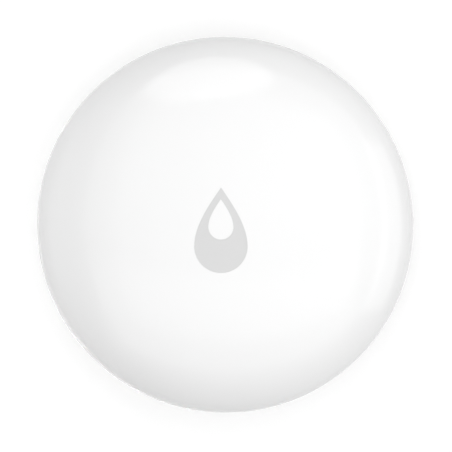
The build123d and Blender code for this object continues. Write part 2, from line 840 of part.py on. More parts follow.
with BuildPart() as crystal_can:
    with BuildSketch(Plane.XY.offset(board_top_z + crystal_base_height)):
        with Locations((crystal_x, crystal_y)):
            Rectangle(crystal_width - 2 * crystal_can_inset, crystal_depth - 2 * crystal_can_inset)
    extrude(amount=crystal_can_height)
    fillet(crystal_can.edges().group_by(Axis.Z)[-1], crystal_edge_radius)
crystal_can.part.label = "crystal_can"
export_step(crystal_can.part, "parts/crystal_can.step")

# Status light under the window
with BuildPart() as status_led:
    with BuildSketch(Plane.XY.offset(board_top_z)):
        with Locations((0, led_y)):
            Rectangle(led_width, led_depth)
    extrude(amount=led_base_height)
status_led.part.label = "status_led"
export_step(status_led.part, "parts/status_led.step")

with BuildPart() as status_led_lens:
    with BuildSketch(Plane.XY.offset(board_top_z + led_base_height)):
        with Locations((0, led_y)):
            Rectangle(led_lens_width, led_depth)
    extrude(amount=led_lens_height)
    fillet(status_led_lens.edges().group_by(Axis.Z)[-1], led_lens_edge_radius)
status_led_lens.part.label = "status_led_lens"
export_step(status_led_lens.part, "parts/status_led_lens.step")

# Capacitors and resistors, in two fields of small blocks
with BuildPart() as capacitors:
    with BuildSketch(Plane.XY.offset(board_top_z)):
        with Locations((capacitor_x, capacitor_y)):
            with GridLocations(
                small_part_pitch_x, small_part_pitch_y, capacitor_columns, capacitor_rows
            ):
                Rectangle(small_part_width, small_part_depth)
    extrude(amount=capacitor_height)
capacitors.part.label = "capacitors"
export_step(capacitors.part, "parts/capacitors.step")

with BuildPart() as resistors:
    with BuildSketch(Plane.XY.offset(board_top_z)):
        with Locations((resistor_x, resistor_y)):
            with GridLocations(small_part_pitch_x, small_part_pitch_y, resistor_columns, resistor_rows):
                Rectangle(small_part_width, small_part_depth)
    extrude(amount=resistor_height)
resistors.part.label = "resistors"
export_step(resistors.part, "parts/resistors.step")

# Negative contact: a leaf under the board that presses on the middle of the cell's cap
contact_pad_z = board_bottom_z - contact_sheet / 2
negative_touch_z = cell_top_z + fixed_gap + contact_sheet / 2
with BuildPart() as negative_contact:
    with BuildSketch(Plane.XZ):
        with BuildLine():
            FilletPolyline(
                (negative_root_x + contact_pad_length, contact_pad_z),
                (negative_root_x, contact_pad_z),
                (negative_tip_x, negative_touch_z),
                (negative_tip_x - negative_tip_length, negative_touch_z + negative_tip_rise),
                radius=contact_bend_radius,
            )
        trace(line_width=contact_sheet)
    extrude(amount=contact_width / 2, both=True)
negative_contact.part.label = "negative_contact"
export_step(negative_contact.part, "parts/negative_contact.step")

# Positive contact: a strip down from the board whose bow touches the side of the cell's can
strip_inner_radius = cell_radius + fixed_gap + positive_bow_depth
strip_radius = strip_inner_radius + contact_sheet / 2
bow_radius = cell_radius + fixed_gap + contact_sheet / 2
strip_tip_z = lid_ring_top_z + running_gap
with BuildPart() as positive_contact:
    with BuildSketch(upright_plane(positive_contact_angle)):
        with BuildLine():
            FilletPolyline(
                (strip_radius + contact_pad_length, contact_pad_z),
                (strip_radius, contact_pad_z),
                (strip_radius, strip_tip_z + 2 * positive_bow_height),
                (bow_radius, strip_tip_z + positive_bow_height),
                (bow_radius + positive_bow_height, strip_tip_z),
                radius=contact_bend_radius,
            )
        trace(line_width=contact_sheet)
    extrude(amount=contact_width / 2, both=True)
positive_contact.part.label = "positive_contact"
export_step(positive_contact.part, "parts/positive_contact.step")

# Coin cell: can with a crimped rim, gasket, cap, and the layers between them
can_inner_radius = cell_radius - cell_sheet
rim_inner_radius = cell_radius - cell_rim_width
rim_top_z = cell_top_z - cell_rim_height
rim_bottom_z = rim_top_z - cell_sheet
cap_radius = rim_inner_radius - cell_gasket_wall
cap_foot_radius = can_inner_radius - cell_gasket_wall
cap_shoulder_z = rim_bottom_z - cell_gasket_wall
cap_foot_z = cell_bottom_z + cell_sheet + cell_gasket_wall
gasket_foot_radius = cap_foot_radius - cell_sheet - cell_gasket_wall
with BuildPart() as cell_can:
    with BuildSketch(Plane.XZ):
        with BuildLine():
            Polyline(
                (0, cell_bottom_z),
                (cell_radius, cell_bottom_z),
                (cell_radius, rim_top_z),
                (rim_inner_radius, rim_top_z),
                (rim_inner_radius, rim_bottom_z),
                (can_inner_radius, rim_bottom_z),
                (can_inner_radius, cell_bottom_z + cell_sheet),
                (0, cell_bottom_z + cell_sheet),
                close=True,
            )
        make_face()
    revolve(axis=Axis.Z)
    outer_edges = cell_can.edges().filter_by(GeomType.CIRCLE).group_by(SortBy.RADIUS)[-1]
    fillet(outer_edges, cell_edge_radius)
cell_can.part.label = "cell_can"
export_step(cell_can.part, "parts/cell_can.step")

with BuildPart() as cell_gasket:
    with BuildSketch(Plane.XZ):
        with BuildLine():
            Polyline(
                (can_inner_radius, cell_bottom_z + cell_sheet),
                (can_inner_radius, rim_bottom_z),
                (rim_inner_radius, rim_bottom_z),
                (rim_inner_radius, rim_top_z),
                (cap_radius, rim_top_z),
                (cap_radius, cap_shoulder_z),
                (cap_foot_radius, cap_shoulder_z),
                (cap_foot_radius, cap_foot_z),
                (gasket_foot_radius, cap_foot_z),
                (gasket_foot_radius, cell_bottom_z + cell_sheet),
                close=True,
            )
        make_face()
    revolve(axis=Axis.Z)
cell_gasket.part.label = "cell_gasket"
export_step(cell_gasket.part, "parts/cell_gasket.step")

with BuildPart() as cell_cap:
    with BuildSketch(Plane.XZ):
        with BuildLine():
            Polyline(
                (0, cell_top_z),
                (cap_radius, cell_top_z),
                (cap_radius, cap_shoulder_z),
                (cap_foot_radius, cap_shoulder_z),
                (cap_foot_radius, cap_foot_z),
                (cap_foot_radius - cell_sheet, cap_foot_z),
                (cap_foot_radius - cell_sheet, cap_shoulder_z - cell_sheet),
                (cap_radius - cell_sheet, cap_shoulder_z - cell_sheet),
                (cap_radius - cell_sheet, cell_top_z - cell_sheet),
                (0, cell_top_z - cell_sheet),
                close=True,
            )
        make_face()
    revolve(axis=Axis.Z)
    fillet(cell_cap.edges().filter_by(GeomType.CIRCLE).group_by(Axis.Z)[-1], cell_edge_radius)
cell_cap.part.label = "cell_cap"
export_step(cell_cap.part, "parts/cell_cap.step")

with BuildPart() as cell_cathode:
    with BuildSketch(Plane.XY.offset(cell_bottom_z + cell_sheet)):
        Circle(gasket_foot_radius - cell_side_space)
    extrude(amount=cell_cathode_height)
cell_cathode.part.label = "cell_cathode"
export_step(cell_cathode.part, "parts/cell_cathode.step")

separator_z = cell_bottom_z + cell_sheet + cell_cathode_height
with BuildPart() as cell_separator:
    with BuildSketch(Plane.XY.offset(separator_z)):
        Circle(gasket_foot_radius)
    extrude(amount=cell_separator_height)
cell_separator.part.label = "cell_separator"
export_step(cell_separator.part, "parts/cell_separator.step")

anode_z = separator_z + cell_separator_height
with BuildPart() as cell_anode:
    with BuildSketch(Plane.XY.offset(anode_z)):
        Circle(cap_radius - cell_sheet - cell_side_space)
    extrude(amount=cell_top_z - cell_sheet - anode_z)
cell_anode.part.label = "cell_anode"
export_step(cell_anode.part, "parts/cell_anode.step")
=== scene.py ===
from math import acos, asin, atan2, cos, pi, radians, sin, sqrt, tan

import bmesh
import bpy
from mathutils import Matrix, Vector


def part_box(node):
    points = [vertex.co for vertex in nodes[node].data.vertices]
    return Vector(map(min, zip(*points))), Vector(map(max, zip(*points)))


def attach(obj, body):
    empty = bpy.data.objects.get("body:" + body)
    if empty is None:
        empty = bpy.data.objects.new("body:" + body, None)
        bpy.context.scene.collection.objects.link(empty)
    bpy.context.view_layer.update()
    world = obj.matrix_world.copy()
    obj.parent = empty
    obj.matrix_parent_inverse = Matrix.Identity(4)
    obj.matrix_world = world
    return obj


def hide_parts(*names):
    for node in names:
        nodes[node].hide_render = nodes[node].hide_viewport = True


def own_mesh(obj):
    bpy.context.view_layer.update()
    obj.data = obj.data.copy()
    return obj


# Round water leak sensor on a pale studio floor. Metres, +Z up, the mark's tip towards +Y.

mm = 0.001
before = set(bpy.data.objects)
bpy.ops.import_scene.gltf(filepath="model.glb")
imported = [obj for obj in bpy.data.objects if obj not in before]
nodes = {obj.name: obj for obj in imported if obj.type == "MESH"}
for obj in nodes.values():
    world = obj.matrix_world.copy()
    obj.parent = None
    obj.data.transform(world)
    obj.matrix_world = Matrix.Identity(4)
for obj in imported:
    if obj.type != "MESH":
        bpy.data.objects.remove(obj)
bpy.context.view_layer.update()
print("frame loaded:", len(nodes), "pieces of the construction")


# Materials: each one starts from the real material and how its surface was made

def linear(hexColour):
    channels = [int(hexColour[i:i + 2], 16) / 255 for i in (1, 3, 5)]
    return [c / 12.92 if c <= 0.04045 else ((c + 0.055) / 1.055) ** 2.4 for c in channels] + [1]


def addNode(tree, kind, inputs={}, **settings):
    node = tree.nodes.new("ShaderNode" + kind)
    for name, value in settings.items():
        setattr(node, name, value)
    for name, value in inputs.items():
        if isinstance(value, bpy.types.NodeSocket):
            tree.links.new(value, node.inputs[name])
        else:
            node.inputs[name].default_value = value
    return node


def startMaterial(name, look):
    material = bpy.data.materials.new(name)
    material.use_nodes = True
    tree = material.node_tree
    shader = tree.nodes["Principled BSDF"]
    shader.inputs["Base Color"].default_value = linear(look["colour"])
    for name in ("Roughness", "Metallic", "IOR", "Transmission Weight"):
        if name in look:
            shader.inputs[name].default_value = look[name]
    where = addNode(tree, "TexCoord").outputs["Object"]
    return material, tree, shader, where


def grain(size):
    return 1 / size  # a noise or cell texture with this scale repeats about once in each size


def rings(pitch):
    return 2 * pi / (20 * pitch)  # a wave texture with this scale has its rings this far apart


def varyColour(tree, shader, where, look):
    # two close tones, so that a large surface isn't one flat colour
    noise = addNode(tree, "TexNoise", {"Vector": where, "Scale": grain(look["toneSize"]), "Detail": 3.0})
    mix = addNode(
        tree,
        "Mix",
        {0: noise.outputs["Fac"], 6: linear(look["colour"]), 7: linear(look["otherTone"])},
        data_type="RGBA",
    )
    tree.links.new(mix.outputs[2], shader.inputs["Base Color"])


noiseBand = {"From Min": 0.3, "From Max": 0.7}  # a noise texture seldom leaves this band


def varyRoughness(tree, shader, where, look):
    # duller in some places than in others, as handled metal is
    noise = addNode(tree, "TexNoise", {"Vector": where, "Scale": grain(look["sheenSize"]), "Detail": 4.0})
    ends = {"To Min": look["shiniest"], "To Max": look["dullest"]}
    spread = addNode(tree, "MapRange", {"Value": noise.outputs["Fac"], **noiseBand, **ends})
    tree.links.new(spread.outputs["Result"], shader.inputs["Roughness"])


def addRelief(tree, shader, height, depth):
    bump = addNode(tree, "Bump", {"Height": height, "Distance": depth, "Strength": 1.0})
    tree.links.new(bump.outputs["Normal"], shader.inputs["Normal"])


def polishedAbs():
    # ABS moulded in a polished cavity: hard white gloss with the faintest orange peel
    look = {
        "colour": "#F5F5F5",
        "otherTone": "#F3F3F3",
        "toneSize": 14 * mm,
        "Roughness": 0.12,
        "IOR": 1.53,
        "peelSize": 2.2 * mm,
        "peelDepth": 0.0006 * mm,
    }
    material, tree, shader, where = startMaterial("polishedAbs", look)
    varyColour(tree, shader, where, look)
    peel = addNode(tree, "TexNoise", {"Vector": where, "Scale": grain(look["peelSize"]), "Detail": 1.0})
    addRelief(tree, shader, peel.outputs["Fac"], look["peelDepth"])
    return material


def padPrintedInk():
    # two-part ink laid on by a soft pad: an even light grey with a satin skin
    look = {
        "colour": "#D6D6D6",
        "otherTone": "#D4D4D4",
        "toneSize": 0.5 * mm,
        "Roughness": 0.3,
        "IOR": 1.5,
        "skinSize": 0.25 * mm,  # real ink is finer, and this is as coarse as it needs to show close up
        "skinDepth": 0.0008 * mm,
    }
    material, tree, shader, where = startMaterial("padPrintedInk", look)
    varyColour(tree, shader, where, look)
    skin = addNode(tree, "TexNoise", {"Vector": where, "Scale": grain(look["skinSize"]), "Detail": 2.0})
    addRelief(tree, shader, skin.outputs["Fac"], look["skinDepth"])
    return material


def erodedAbs(name, colour, otherTone, grainSize, roughness):
    # ABS moulded against a spark-eroded cavity: a fine even matt grain that hides the light
    look = {
        "colour": colour,
        "otherTone": otherTone,
        "toneSize": 6 * mm,
        "Roughness": roughness,
        "IOR": 1.53,
        "grainDepth": 0.006 * mm,
    }
    material, tree, shader, where = startMaterial(name, look)
    varyColour(tree, shader, where, look)
    # the real grain is about 0.05 mm, too fine to show, so it is drawn coarser
    cells = addNode(tree, "TexVoronoi", {"Vector": where, "Scale": grain(grainSize)}, feature="SMOOTH_F1")
    addRelief(tree, shader, cells.outputs["Distance"], look["grainDepth"])
    return material


def siliconeRubber():
    # moulded silicone: dark and soft, with a dull skin that holds a little dust
    look = {
        "colour": "#2A2C2F",
        "otherTone": "#3A3C3F",
        "toneSize": 0.6 * mm,
        "Roughness": 0.62,
        "IOR": 1.42,
        "skinSize": 0.2 * mm,
        "skinDepth": 0.004 * mm,
    }
    material, tree, shader, where = startMaterial("siliconeRubber", look)
    varyColour(tree, shader, where, look)
    skin = addNode(tree, "TexNoise", {"Vector": where, "Scale": grain(look["skinSize"]), "Detail": 3.0})
    addRelief(tree, shader, skin.outputs["Fac"], look["skinDepth"])
    return material


def turnedMetal(name, colour, otherTone, roughness, axis, pitch, depth):
    # bar turned on a lathe: fine rings round its axis that draw the light into a bow tie
    look = {
        "colour": colour,
        "otherTone": otherTone,
        "toneSize": 1.5 * mm,
        "Metallic": 1.0,
        "sheenSize": 0.8 * mm,
        "shiniest": roughness * 0.8,
        "dullest": roughness * 1.25,
        "unevenness": 0.6,  # of the rings
    }
    material, tree, shader, where = startMaterial(name, look)
    varyColour(tree, shader, where, look)
    varyRoughness(tree, shader, where, look)
    shift = {"Vector": where, "Location": (-axis.x, -axis.y, 0)}
    place = addNode(tree, "Mapping", shift).outputs["Vector"]
    turning = addNode(
        tree,
        "TexWave",
        {"Vector": place, "Scale": rings(pitch), "Distortion": look["unevenness"], "Detail": 2.0},
        wave_type="RINGS",
        rings_direction="Z",
    )
    addRelief(tree, shader, turning.outputs["Fac"], depth)
    return material


def rolledMetal(name, colour, otherTone, roughness, along=(1, 1, 1)):
    # sheet or wire, drawn or rolled: even sheen with fine streaks along the way it was pulled
    look = {
        "colour": colour,
        "otherTone": otherTone,
        "toneSize": 1.2 * mm,
        "Metallic": 1.0,
        "sheenSize": 0.7 * mm,
        "shiniest": roughness * 0.8,
        "dullest": roughness * 1.3,
        "streakSize": 0.5 * mm,
        "streakDepth": 0.001 * mm,
    }
    material, tree, shader, where = startMaterial(name, look)
    varyColour(tree, shader, where, look)
    varyRoughness(tree, shader, where, look)
    place = addNode(tree, "Mapping", {"Vector": where, "Scale": along}).outputs["Vector"]
    scale = grain(look["streakSize"])
    streaks = addNode(tree, "TexNoise", {"Vector": place, "Scale": scale, "Detail": 4.0})
    addRelief(tree, shader, streaks.outputs["Fac"], look["streakDepth"])
    return material


def grainyBody(name, colour, otherTone, roughness, size, depth):
    # filled resin, ceramic or pressed powder: dull, with a grain of its own size
    look = {
        "colour": colour,
        "otherTone": otherTone,
        "toneSize": size * 2,
        "Roughness": roughness,
        "IOR": 1.5,
        "coarseness": 0.65,
    }
    material, tree, shader, where = startMaterial(name, look)
    varyColour(tree, shader, where, look)
    specks = addNode(
        tree,
        "TexNoise",
        {"Vector": where, "Scale": grain(size), "Detail": 5.0, "Roughness": look["coarseness"]},
    )
    addRelief(tree, shader, specks.outputs["Fac"], depth)
    return material


def solderMask(name, colour, otherTone):
    # green lacquer over glass cloth: wet-looking, with the weave of the cloth just showing through
    look = {
        "colour": colour,
        "otherTone": otherTone,
        "toneSize": 5 * mm,
        "Roughness": 0.32,
        "IOR": 1.5,
        "threadSpacing": 0.5 * mm,
        "threadWander": 0.3,
        "weaveDepth": 0.004 * mm,
    }
    material, tree, shader, where = startMaterial(name, look)
    varyColour(tree, shader, where, look)
    threads = []
    for axis in ("X", "Y"):
        wave = addNode(
            tree,
            "TexWave",
            {"Vector": where, "Scale": rings(look["threadSpacing"]), "Distortion": look["threadWander"]},
            bands_direction=axis,
        )
        threads.append(wave.outputs["Fac"])
    weave = addNode(tree, "Math", {0: threads[0], 1: threads[1]}, operation="MULTIPLY")
    addRelief(tree, shader, weave.outputs[0], look["weaveDepth"])
    return material


def clearResin():
    # cast clear epoxy: smooth, lens-like, faintly milky
    look = {
        "colour": "#EEF3FA",
        "Roughness": 0.08,
        "IOR": 1.5,
        "Transmission Weight": 0.85,
        "rippleSize": 0.6 * mm,
        "rippleDepth": 0.002 * mm,
    }
    material, tree, shader, where = startMaterial("clearResin", look)
    ripple = addNode(tree, "TexNoise", {"Vector": where, "Scale": grain(look["rippleSize"]), "Detail": 1.0})
    addRelief(tree, shader, ripple.outputs["Fac"], look["rippleDepth"])
    return material


def porousPaper():
    # felted polypropylene fibre: white, dull and faintly hairy
    look = {
        "colour": "#E9E8E2",
        "otherTone": "#D9D8D0",
        "toneSize": 0.4 * mm,
        "Roughness": 0.9,
        "IOR": 1.45,
        "fibreSize": 0.15 * mm,
        "fibreDepth": 0.01 * mm,
        "along": (1, 0.25, 1),  # the fibres lie along Y, four times as long as wide
    }
    material, tree, shader, where = startMaterial("porousPaper", look)
    varyColour(tree, shader, where, look)
    place = addNode(tree, "Mapping", {"Vector": where, "Scale": look["along"]}).outputs["Vector"]
    fibres = addNode(tree, "TexNoise", {"Vector": place, "Scale": grain(look["fibreSize"]), "Detail": 6.0})
    addRelief(tree, shader, fibres.outputs["Fac"], look["fibreDepth"])
    return material


def middle(node):
    low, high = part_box(node)
    return (low + high) / 2


def dress(material, *names):
    for name in names:
        slots = nodes[name].data.materials
        if len(slots) == 0:
            slots.append(material)
        for index in range(len(slots)):
            slots[index] = material


whiteGloss = polishedAbs()
markInk = padPrintedInk()
rubber = siliconeRubber()
dress(erodedAbs("erodedAbs", "#EEEEED", "#EAEAE9", 0.16 * mm, 0.5), "base_housing")
dress(erodedAbs("satinAbs", "#F1F1F0", "#EDEDEC", 0.12 * mm, 0.4), "battery_cover")
dress(rubber, "cover_seal", "battery_cover_seal", "probe_seal_left", "probe_seal_right")
for side in ("left", "right"):
    axis = middle("probe_" + side)
    steel = turnedMetal("turnedStainless_" + side, "#CFCCC6", "#BDBAB4", 0.24, axis, 0.16 * mm, 0.003 * mm)
    brass = turnedMetal("turnedBrass_" + side, "#D2B068", "#B8934B", 0.3, axis, 0.2 * mm, 0.006 * mm)
    dress(steel, "probe_" + side)
    dress(brass, "probe_insert_" + side)
springWire = rolledMetal("drawnSpringWire", "#BDBCBA", "#A3A29F", 0.3, (1, 1, 0.3))
dress(springWire, "probe_spring_left", "probe_spring_right")
dress(solderMask("solderMask", "#0F5A33", "#0B4A2A"), "circuit_board")
traceMask = solderMask("maskOverCopper", "#1F7A48", "#1A6E40")
gilding = rolledMetal("gildedCopper", "#DDB771", "#C99F58", 0.3)
dress(gilding, "board_pads", "antenna_trace")
solder = rolledMetal("reflowedSolder", "#D3D4D3", "#C2C3C2", 0.24)
legendInk = grainyBody("screenPrintedInk", "#EBEBE6", "#E0E0DB", 0.6, 0.1 * mm, 0.002 * mm)
dress(rolledMetal("zincPlatedSteel", "#A9AEB4", "#8F949C", 0.36), "board_screws")
nylon = grainyBody("glassFilledNylon", "#16171A", "#202226", 0.5, 0.1 * mm, 0.004 * mm)
dress(nylon, "switch_base", "switch_plunger")
dress(rolledMetal("tinnedSteel", "#CFCFCC", "#B9B9B5", 0.33, (1, 0.2, 1)), "switch_frame", "switch_leads")
springSteel = rolledMetal("rolledSpringSteel", "#C6C5C1", "#B2B1AD", 0.28)
dress(springSteel, "switch_dome")
dress(grainyBody("mouldedEpoxy", "#17181A", "#1F2023", 0.55, 0.08 * mm, 0.004 * mm), "radio_chip")
dress(grainyBody("firedAlumina", "#5B4F47", "#4E433C", 0.6, 0.1 * mm, 0.004 * mm), "crystal_base")
dress(rolledMetal("platedLid", "#CFC9B8", "#BBB4A0", 0.26), "crystal_can")
dress(grainyBody("whiteReflectorResin", "#EDEDE4", "#E2E2D8", 0.35, 0.1 * mm, 0.002 * mm), "status_led")
dress(clearResin(), "status_led_lens")
dress(grainyBody("firedTitanate", "#A5855F", "#957551", 0.5, 0.1 * mm, 0.003 * mm), "capacitors")
dress(grainyBody("glazedResistor", "#191A1D", "#232428", 0.3, 0.15 * mm, 0.002 * mm), "resistors")
contactSpring = rolledMetal("nickelPlatedSpring", "#D2D0C8", "#BDBBB2", 0.26, (0.2, 1, 1))
dress(contactSpring, "negative_contact", "positive_contact")
axis = middle("cell_can")
cellSteel = turnedMetal("nickelPlatedCan", "#CBCAC6", "#BDBCB7", 0.24, axis, 0.3 * mm, 0.0008 * mm)
dress(cellSteel, "cell_can", "cell_cap")
dress(grainyBody("mouldedPolypropylene", "#8F939C", "#83878F", 0.45, 0.3 * mm, 0.002 * mm), "cell_gasket")
dress(grainyBody("pressedManganese", "#17171A", "#242427", 0.85, 0.15 * mm, 0.01 * mm), "cell_cathode")
dress(porousPaper(), "cell_separator")
dress(rolledMetal("rolledLithium", "#B9BAC0", "#A4A6AD", 0.5, (1, 0.15, 1)), "cell_anode")
print("materials ready:", len(bpy.data.materials))


# Mesh tools

def addObject(name, data):
    # a mesh, a lamp or the camera, put into the scene
    thing = bpy.data.objects.new(name, data)
    bpy.context.scene.collection.objects.link(thing)
    return thing


def loft(name, rows, closed=False, capped=False):
    # bridges rows of points, where a row of one point is a pole
    work = bmesh.new()
    made = [[work.verts.new(point) for point in row] for row in rows]
    pairs = list(zip(made, made[1:]))
    if closed:
        pairs.append((made[-1], made[0]))
    for first, second in pairs:
        count = max(len(first), len(second))
        for i in range(count):
            j = (i + 1) % count
            corners = [
                first[i % len(first)],
                first[j % len(first)],
                second[j % len(second)],
                second[i % len(second)],
            ]
            work.faces.new(list(dict.fromkeys(corners)))
    if capped:
        work.faces.new(made[0])
        work.faces.new(made[-1])
    bmesh.ops.recalc_face_normals(work, faces=work.faces)
    mesh = bpy.data.meshes.new(name)
    work.to_mesh(mesh)
    work.free()
    return addObject(name, mesh)


def smoothShade(piece, angle=32):
    piece.data.shade_smooth()
    piece.data.set_sharp_from_angle(angle=radians(angle))


def combine(piece, tool, operation):
    modifier = piece.modifiers.new("combine", "BOOLEAN")
    modifier.operation = operation
    modifier.solver = "EXACT"
    modifier.object = tool
    bpy.context.view_layer.update()
    result = bpy.data.meshes.new_from_object(piece.evaluated_get(bpy.context.evaluated_depsgraph_get()))
    piece.modifiers.clear()
    piece.data = result
    bpy.data.objects.remove(tool)


def ellipseArc(centre, radii, start, end, steps):
    points = []
    for i in range(steps + 1):
        angle = radians(start + (end - start) * i / steps)
        points.append((centre[0] + radii[0] * cos(angle), centre[1] + radii[1] * sin(angle)))
    return points


def roundCorner(before, corner, after, radius, steps=5):
    # a curve from one side of the corner to the other
    a = Vector(corner) + (Vector(before) - Vector(corner)).normalized() * radius
    b = Vector(corner) + (Vector(after) - Vector(corner)).normalized() * radius
    points = []
    for i in range(steps + 1):
        t = i / steps
        points.append(tuple(a * (1 - t) ** 2 + Vector(corner) * 2 * t * (1 - t) + b * t ** 2))
    return points


def circleRow(radius, count, middleY=0.0):
    # points round a circle, clockwise from +Y
    row = []
    for i in range(count):
        angle = 2 * pi * i / count
        row.append((radius * sin(angle), middleY + radius * cos(angle)))
    return row


def turnedRows(section, segments):
    rows = []
    for radius, z in section:
        if radius == 0:
            rows.append([(0, 0, z)])
        else:
            rows.append([(x, y, z) for x, y in circleRow(radius, segments)])
    return rows


# Top cover and the printed drop

coverLow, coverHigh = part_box("top_cover")
cover = {
    "segments": 384,
    "steps": {"eye": 6, "mark": 5, "aroundMark": 14, "crown": 44, "belly": 14, "ceiling": 40, "ribEnd": 12},
    "radius": coverHigh.x,
    "top": coverHigh.z,
    "bottom": coverLow.z,
    "equator": 6.0 * mm,
    "wall": 1.6 * mm,
    "skirtWall": 2.0 * mm,  # round the rim, where the snap lugs are
    "underside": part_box("battery_cover")[0].z - 0.1 * mm,
    "flatRadius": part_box("probe_right")[1].x + 0.45 * mm,  # where the lower curve starts
    "edgeRadius": 0.35 * mm,
    "postRadius": 2.0 * mm,
    "postGap": 0.05 * mm,
    "postEdge": 0.25 * mm,
    "ribAngles": (45, 135),
    "ribReach": 9.0 * mm,
    "ribWall": 1.0 * mm,
    "ribDepth": 0.6 * mm,
    "ribRoot": 0.3 * mm,
    "windowRadius": 1.6 * mm,
    "windowWall": 0.7 * mm,
    "windowSegments": 64,
    "markRing": 12.0 * mm,  # outside this circle the surface is a plain turned form
}
mark = {
    "height": 11.15 * mm,
    "width": 6.95 * mm,
    "depth": 0.12 * mm,
    "gap": 0.01 * mm,
    "eyeShare": 0.47,  # of the drop's height and width
    "eyeInset": 1.53 * mm,
    "eyeMiddleShare": 0.6,  # of the eye's height, down from its tip
    "tipSideShare": 0.31,  # these three pull the curve of the flank
    "tipFallShare": 0.21,
    "flankRiseShare": 0.38,
    "steps": 6,
}


def domeHeight(x, y):
    share = (x * x + y * y) / cover["radius"] ** 2
    return cover["equator"] + (cover["top"] - cover["equator"]) * sqrt(1 - share)


def dropOutline(height, width, tip):
    # points of a drop, clockwise from its tip, at even angles round the middle of its round end
    half = width / 2
    shoulder = tip - (height - half)
    flank = tip - shoulder
    corners = [
        Vector((0, tip)),
        Vector((half * mark["tipSideShare"], tip - flank * mark["tipFallShare"])),
        Vector((half, shoulder + flank * mark["flankRiseShare"])),
        Vector((half, shoulder)),
    ]

    def flankPoint(t):
        weights = ((1 - t) ** 3, 3 * t * (1 - t) ** 2, 3 * t * t * (1 - t), t ** 3)
        return sum((w * c for w, c in zip(weights, corners)), Vector((0, 0)))

    count = cover["segments"]
    points = []
    for i in range(count // 2 + 1):
        angle = 2 * pi * i / count
        if angle >= pi / 2:
            points.append((half * sin(angle), shoulder + half * cos(angle)))
            continue
        low, high = 0.0, 1.0
        for halving in range(40):
            t = (low + high) / 2
            point = flankPoint(t)
            if atan2(point.x, point.y - shoulder) < angle:
                low = t
            else:
                high = t
        points.append(tuple(flankPoint(low)))
    points[0] = (0, tip)
    points[count // 2] = (0, tip - height)
    return points + [(-x, y) for x, y in reversed(points[1:-1])]


def between(first, second, share):
    return [(a[0] + (b[0] - a[0]) * share, a[1] + (b[1] - a[1]) * share) for a, b in zip(first, second)]


def onDome(outline, sink=0.0):
    return [(x, y, domeHeight(x, y) - sink) for x, y in outline]


def markOutlines(play):
    outer = dropOutline(mark["height"] + 2 * play, mark["width"] + 2 * play, mark["height"] / 2 + play)
    eye = dropOutline(
        mark["height"] * mark["eyeShare"] - 2 * play,
        mark["width"] * mark["eyeShare"] - 2 * play,
        mark["height"] / 2 - mark["eyeInset"] - play,
    )
    return outer, eye


snap = {
    "count": 4,
    "firstAngle": 45,  # degrees, as the sweep is
    "sweep": 16,
    "depth": 0.45 * mm,
    "height": 0.7 * mm,
    "leadIn": 0.35 * mm,
    "root": 0.15 * mm,
    "bottom": 5.8 * mm,
    "steps": 12,
}


def lugRows():
    bore = cover["radius"] - cover["skirtWall"]
    bottom = snap["bottom"]
    section = [
        (bore + snap["root"], bottom + snap["height"]),
        (bore - snap["depth"], bottom + snap["height"]),
        (bore - snap["depth"], bottom + snap["leadIn"]),
        (bore, bottom),
        (bore + snap["root"], bottom),
    ]
    lugs = []
    for index in range(snap["count"]):
        first = snap["firstAngle"] + index * 360 / snap["count"] - snap["sweep"] / 2
        rows = []
        for step in range(snap["steps"] + 1):
            angle = radians(first + snap["sweep"] * step / snap["steps"])
            rows.append([(r * cos(angle), r * sin(angle), z) for r, z in section])
        lugs.append(rows)
    return lugs


